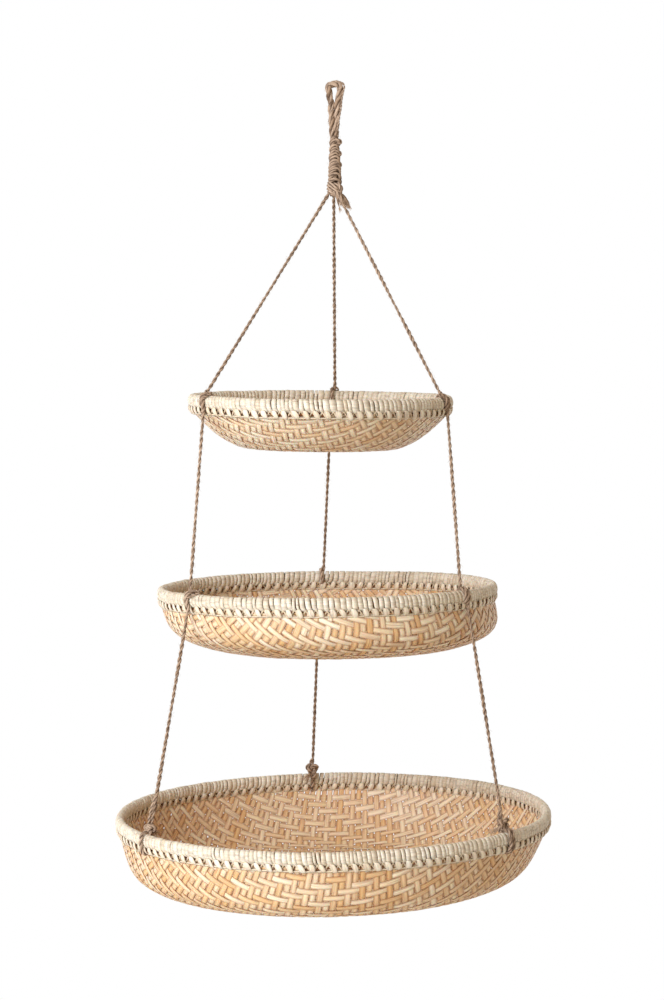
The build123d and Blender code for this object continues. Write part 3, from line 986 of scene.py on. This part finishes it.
def make_neck():
    """Cord wound down the neck in steep turns that peak along a ridge right of the middle."""
    bars = Bars()
    top_z, foot_z = neck_high[2], neck_low[2] - 3 * mm
    winding = []
    steps = neck_turns * 12
    for step in range(steps + 1):
        share = step / steps
        around = 2 * math.pi * share * neck_turns + math.pi / 2
        reach = neck_radius(share) - wrap_cord_d * 0.42
        height = top_z - 3.4 * mm + (foot_z - top_z + 2.0 * mm) * share
        peak = math.cos(around - neck_ridge)
        tipped = (neck_tip * peak + neck_tip_sharp * peak * abs(peak)) * min(1.0, 4 * (1 - share) + 0.3)
        sideways = math.cos(around) * reach + 1.2 * mm * share
        winding.append(Vector((sideways, math.sin(around) * reach, height + tipped)))
    line = smooth_line(winding, fine_step)
    lay_strand(bars, line, wrap_cord_d, lay=wrap_lay)
    loose = Bars()
    add_fuzz(loose, line, wrap_cord_d, fuzz_on_neck)
    for down, proud in neck_bights:
        reach = neck_radius(down * mm / (top_z - foot_z))
        places = []
        for swing, out, up in bight_way:
            far = reach + (out - 0.9 + proud * (out > -0.5)) * mm
            places.append(Vector((math.cos(swing) * far, math.sin(swing) * far, top_z - down * mm + up * mm)))
        lay_strand(bars, smooth_line(places, fine_step), wrap_cord_d, lay=9 * mm)
    neck = bars.finish("neck_wrapping", mat_jute, "neck")
    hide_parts("neck_whipping")
    fuzz = loose.finish("neck_fuzz", mat_fuzz, "neck")
    repaint("neck_core", mat_jute)


# The gather knot's slanted turns: height, reach and slant; its upright bight; the strands through it, in mm
gather_turns = ((4.2, 5.2, 0.3), (1.8, 5.9, 0.3), (-0.8, 5.9, 0.22), (-3.2, 5.2, 0.15), (-4.8, 3.2, 0.0))
gather_bight = ((2.6, -2.0, 5.8), (5.0, -5.0, 4.0), (6.2, -5.0, -0.5), (5.0, -4.6, -5.0), (2.0, -2.0, -7.0))
gather_strands = ((-2.2, 0.4), (1.9, 1.0), (0.2, -1.9))


def make_gather():
    """The lump that closes the neck: shallow slanted turns and one upright bight."""
    bars = Bars()
    middle = (Vector(knot_low) + Vector(knot_high)) / 2 + Vector((0.8, 0, -3.2)) * mm
    for height, reach, slant in gather_turns:
        turn = []
        for step in range(17):
            around = 2 * math.pi * step / 16 + math.pi / 2
            ahead = math.cos(around) * reach
            turn.append((ahead, math.sin(around) * reach, height - slant * ahead))
        lay_strand(bars, smooth_line(points_from(middle, turn), fine_step), cord_d * 0.95)
    lay_strand(bars, smooth_line(points_from(middle, gather_bight), fine_step), cord_d * 1.1)
    for x, y in gather_strands:
        way = ((x, y, 5.0), (x * 1.2, y * 1.2, -3.0), (x * 1.1, y * 1.1, -6.5))
        lay_strand(bars, smooth_line(points_from(middle, way), fine_step), cord_d * 0.9)
    knot = bars.finish("gather_wrapping", mat_jute, "neck")
    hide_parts("gather_knot")


# The cut ends under the gather knot: where each one's tip lies, and how thick it is, in millimetres
cut_ends = ((15, -8, -17.5, 4.4), (13, -10, -17.5, 4.6), (10, -11, -17, 4.4), (13.5, -4, -13, 4.4),
            (6, -9, -15, 4.4), (8, -12, -13, 4.2), (5.5, -6, -20, 1.8))


def make_tails():
    """The cut ends that leave the gather knot towards the front right, and fray."""
    bars = Bars()
    loose = Bars()
    root = gather + Vector((1.0, -2.5, -3.5)) * mm
    for x, y, z, thick in cut_ends:
        tip = root + Vector((x, y, z)) * mm * rng.uniform(0.92, 1.02)
        start = root + Vector((x * 0.12 - 1.5, rng.uniform(-1.5, 1.5), z * 0.1 + 2.0)) * mm
        sag = Vector((rng.uniform(-1, 1), rng.uniform(-1, 1), rng.uniform(0.5, 2.5))) * mm
        bend = start.lerp(tip, 0.5) + sag
        line = smooth_line([start, bend, tip], fine_step)
        lay_strand(bars, line, thick * mm, lay=tail_lay, taper=lambda z: 1.0 - 0.55 * z ** 2)
        add_tuft(loose, line[-4], (tip - bend).normalized(), length=5.5 * mm, count=14, spread=0.12)
        add_fuzz(loose, line, thick * mm, fuzz_on_ends)
    tails = bars.finish("cut_ends", mat_jute, "cord_tails")
    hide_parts("cord_tails")
    fuzz = loose.finish("cut_ends_fray", mat_fuzz, "cord_tails")


make_loop()
make_neck()
make_gather()
make_tails()


# Room, light and camera

floor_r = 1.5
floor_height = -1.35
room_colour = (1.0, 0.80, 0.55, 1)
room_strength = 0.49
lamp_size = 1.3


def make_floor():
    """A plain pale floor well below the basket."""
    floor_mesh = bpy.data.meshes.new("floor")
    bm = bmesh.new()
    bmesh.ops.create_circle(bm, cap_ends=True, segments=64, radius=floor_r)
    bmesh.ops.translate(bm, verts=bm.verts, vec=(0, 0, floor_height))
    bm.to_mesh(floor_mesh)
    bm.free()
    floor = bpy.data.objects.new("floor", floor_mesh)
    bpy.context.scene.collection.objects.link(floor)
    paint = bpy.data.materials.new("pale floor")
    paint.use_nodes = True
    shader = paint.node_tree.nodes["Principled BSDF"]
    shader.inputs["Base Color"].default_value = (0.9, 0.9, 0.9, 1)
    shader.inputs["Roughness"].default_value = 0.9
    floor_mesh.materials.append(paint)


def make_world():
    """Warm light from all round, and plain white wherever the camera or a reflection looks."""
    world = bpy.data.worlds.new("white room")
    bpy.context.scene.world = world
    world.use_nodes = True
    tree = world.node_tree
    lamp = tree.nodes["Background"]
    lamp.inputs["Color"].default_value = room_colour
    lamp.inputs["Strength"].default_value = room_strength
    seen = put(tree, "ShaderNodeBackground", {"Color": (1, 1, 1, 1), "Strength": 1.0})
    rays = put(tree, "ShaderNodeLightPath")
    looks = put(tree, "ShaderNodeMath", {
        0: rays.outputs["Is Camera Ray"], 1: rays.outputs["Is Glossy Ray"]}, operation="MAXIMUM")
    through = put(tree, "ShaderNodeMath", {
        0: looks.outputs[0], 1: rays.outputs["Is Transmission Ray"]}, operation="MAXIMUM")
    mix = put(tree, "ShaderNodeMixShader", {
        0: through.outputs[0], 1: lamp.outputs[0], 2: seen.outputs[0]})
    tree.links.new(mix.outputs[0], tree.nodes["World Output"].inputs["Surface"])


def add_lamp(name, place, aim, power, colour):
    """A square lamp that faces a point of the basket."""
    lamp = bpy.data.lights.new(name, "AREA")
    lamp.size = lamp_size
    lamp.energy = power
    lamp.color = colour
    holder = bpy.data.objects.new(name, lamp)
    holder.location = place
    holder.rotation_euler = (Vector(aim) - Vector(place)).to_track_quat("-Z", "Y").to_euler()
    bpy.context.scene.collection.objects.link(holder)


make_floor()
make_world()
add_lamp("window", place=(-2.0, -1.5, -0.95), aim=(0, 0, -0.25), power=28, colour=(0.91, 0.97, 1.0))
add_lamp("skylight", place=(-1.5, -2.0, 0.5), aim=(0, 0, -0.45), power=59, colour=(0.93, 0.97, 1.0))

camera = bpy.data.cameras.new("camera")
camera.sensor_fit = "VERTICAL"
camera.sensor_height = camera_frame
camera.lens = camera_lens
camera.clip_start = 0.05
camera.clip_end = 50.0
holder = bpy.data.objects.new("camera", camera)
tipped = Matrix.Rotation(math.radians(90 - camera_down), 4, "X")
rolled = Matrix.Rotation(math.radians(camera_roll), 4, "Z")
holder.matrix_world = Matrix.Translation(camera_place) @ tipped @ rolled
bpy.context.scene.collection.objects.link(holder)
bpy.context.scene.camera = holder
bpy.context.scene.view_settings.view_transform = "Standard"
